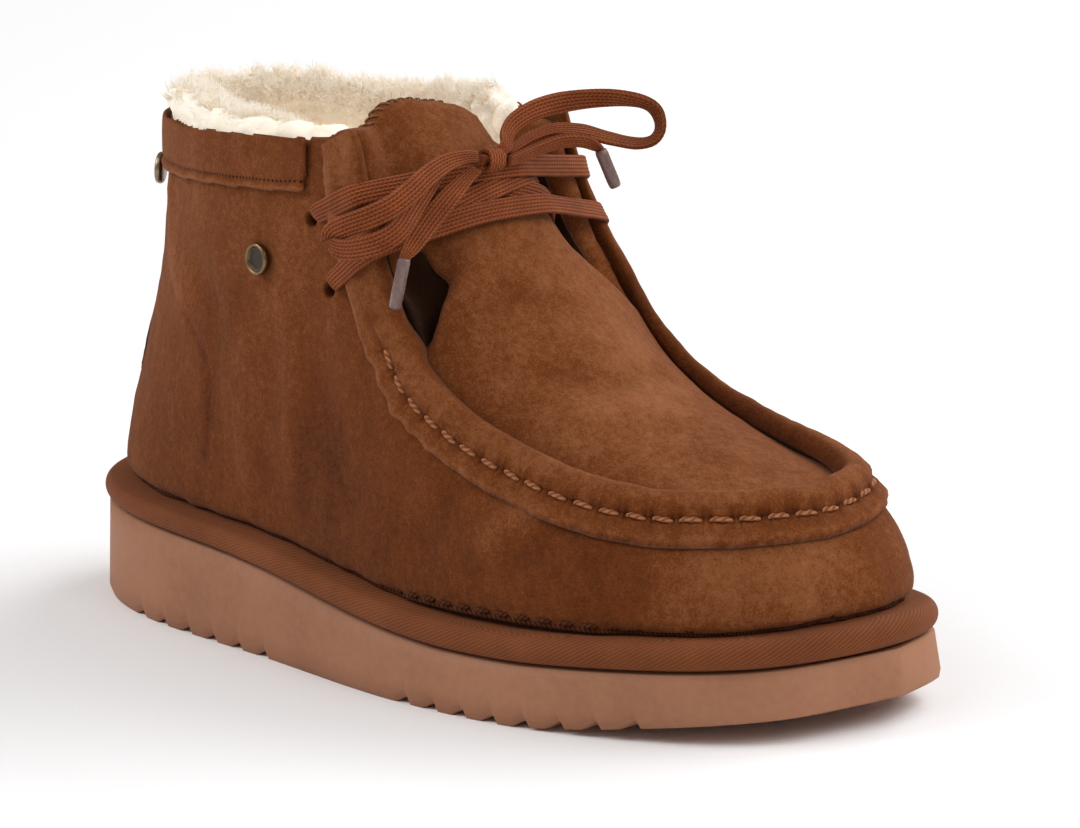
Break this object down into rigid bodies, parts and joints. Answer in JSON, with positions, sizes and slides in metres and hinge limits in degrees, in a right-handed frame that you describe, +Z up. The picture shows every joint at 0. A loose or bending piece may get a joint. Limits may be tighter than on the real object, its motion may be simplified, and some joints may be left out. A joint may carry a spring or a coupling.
{
  "type": "lace-up moccasin boot",
  "caption": "Low fleece-lined suede moccasin boot with a rolled toe seam, a fleece collar, a tied flat lace and a wide foam sole.",
  "frame": {"origin": "on the floor under the middle of the sole's length and width", "axes": "+X to the toe, +Y to the inner side of the foot, +Z up"},
  "size_m": [0.2832, 0.1033, 0.1483],
  "materials": {
    "suede": "napped chestnut suede",
    "binding_fabric": "twill",
    "foam": "matte moulded foam",
    "fleece": "fleece pile",
    "lace_braid": "flat braid",
    "aged_brass": "aged",
    "aglet_plastic": "clear sheath over braid"
  },
  "bodies": {
    "root": {"outsole": "foam", "midsole": "binding_fabric", "insole": "fleece", "upper": "suede", "tongue": "suede", "collar_band": "suede", "heel_tab": "suede", "seam_roll": "suede", "side_stud": "aged_brass", "back_stud": "aged_brass", "lace_crossing": "lace_braid", "lace_bar_upper": "lace_braid", "lace_bar_lower": "lace_braid", "lace_knot": "lace_braid", "lace_loop_outer": "lace_braid", "lace_loop_inner": "lace_braid", "lace_end_outer": "lace_braid", "lace_end_inner": "lace_braid", "aglet_outer": "aglet_plastic", "aglet_inner": "aglet_plastic"}
  },
  "joints": []
}
